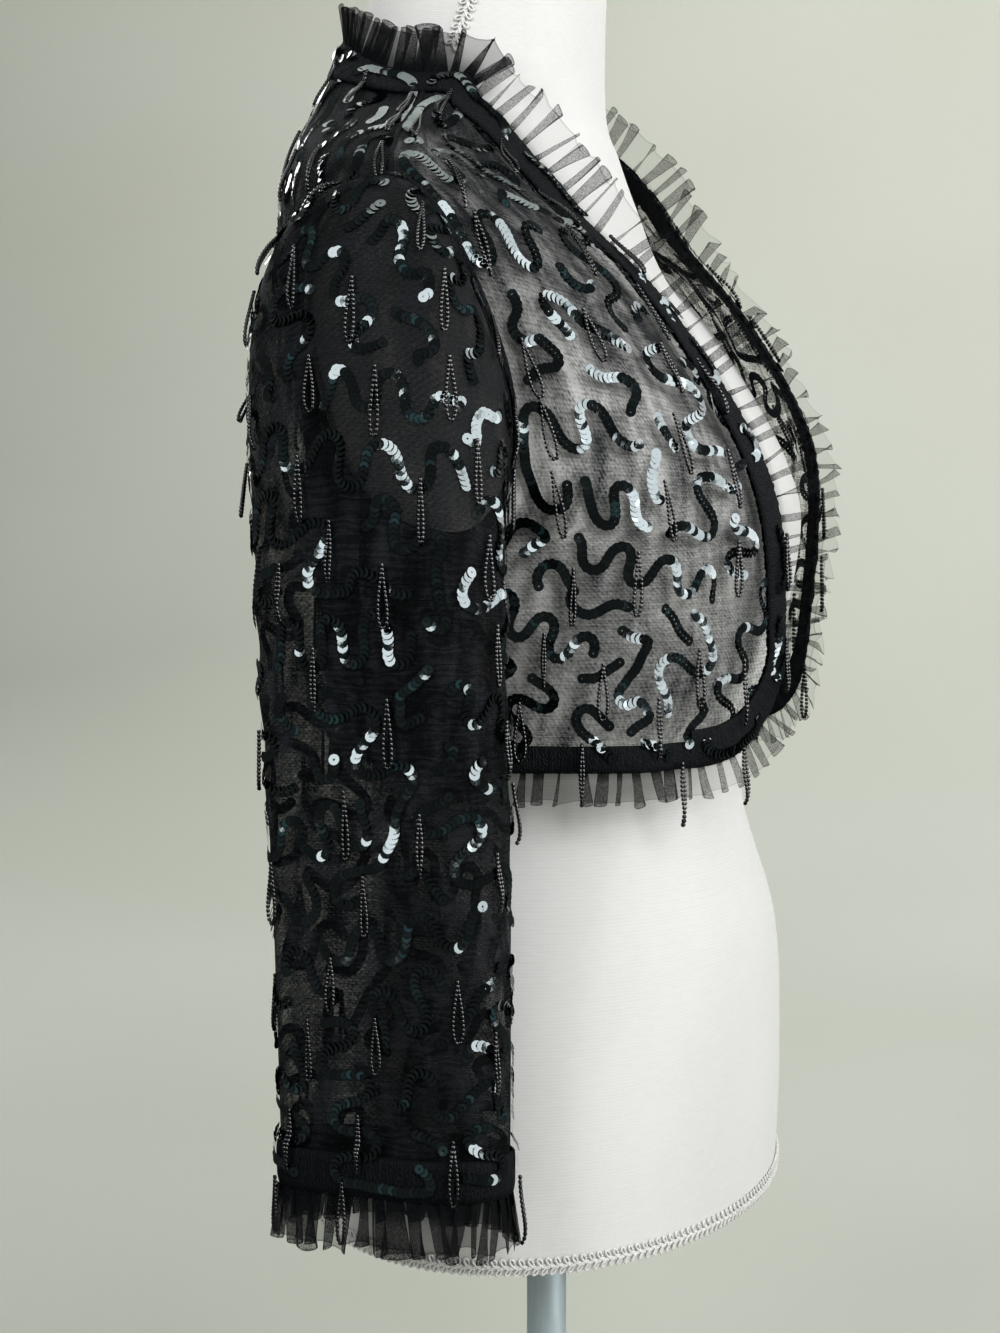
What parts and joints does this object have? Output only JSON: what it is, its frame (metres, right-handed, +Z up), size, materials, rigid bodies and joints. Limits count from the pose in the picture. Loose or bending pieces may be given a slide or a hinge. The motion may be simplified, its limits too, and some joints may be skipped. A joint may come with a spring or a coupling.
{
  "type": "cropped cardigan on a dress form",
  "caption": "Sheer cropped cardigan with long sleeves, open rounded fronts and gathered ruffles on every edge, worn on a limbless dress form on a pole stand.",
  "frame": {"origin": "centre of the base's underside, on the floor", "axes": "+Z up, -Y the way the wearer faces, -X the wearer's right"},
  "size_m": [0.4732, 0.34, 0.97],
  "materials": {
    "net": "sheer black net",
    "binding": "dense black bead and net binding",
    "ruffle": "fine black net, gathered",
    "linen": "plain woven off-white cover",
    "braid": "white looped furnishing braid",
    "steel": "satin grey"
  },
  "bodies": {
    "root": {"form_base": "steel", "form_pole": "steel", "form_torso": "linen", "form_bottom_braid": "braid", "form_neck_braid_right": "braid", "form_neck_braid_left": "braid", "back": "net", "front_right": "net", "front_left": "net", "sleeve_right": "net", "sleeve_left": "net", "cuff_band_right": "binding", "cuff_band_left": "binding", "hem_band": "binding", "front_and_neck_band": "binding", "cuff_ruffle_right": "ruffle", "cuff_ruffle_left": "ruffle", "hem_ruffle": "ruffle", "front_and_neck_ruffle": "ruffle"}
  },
  "joints": []
}
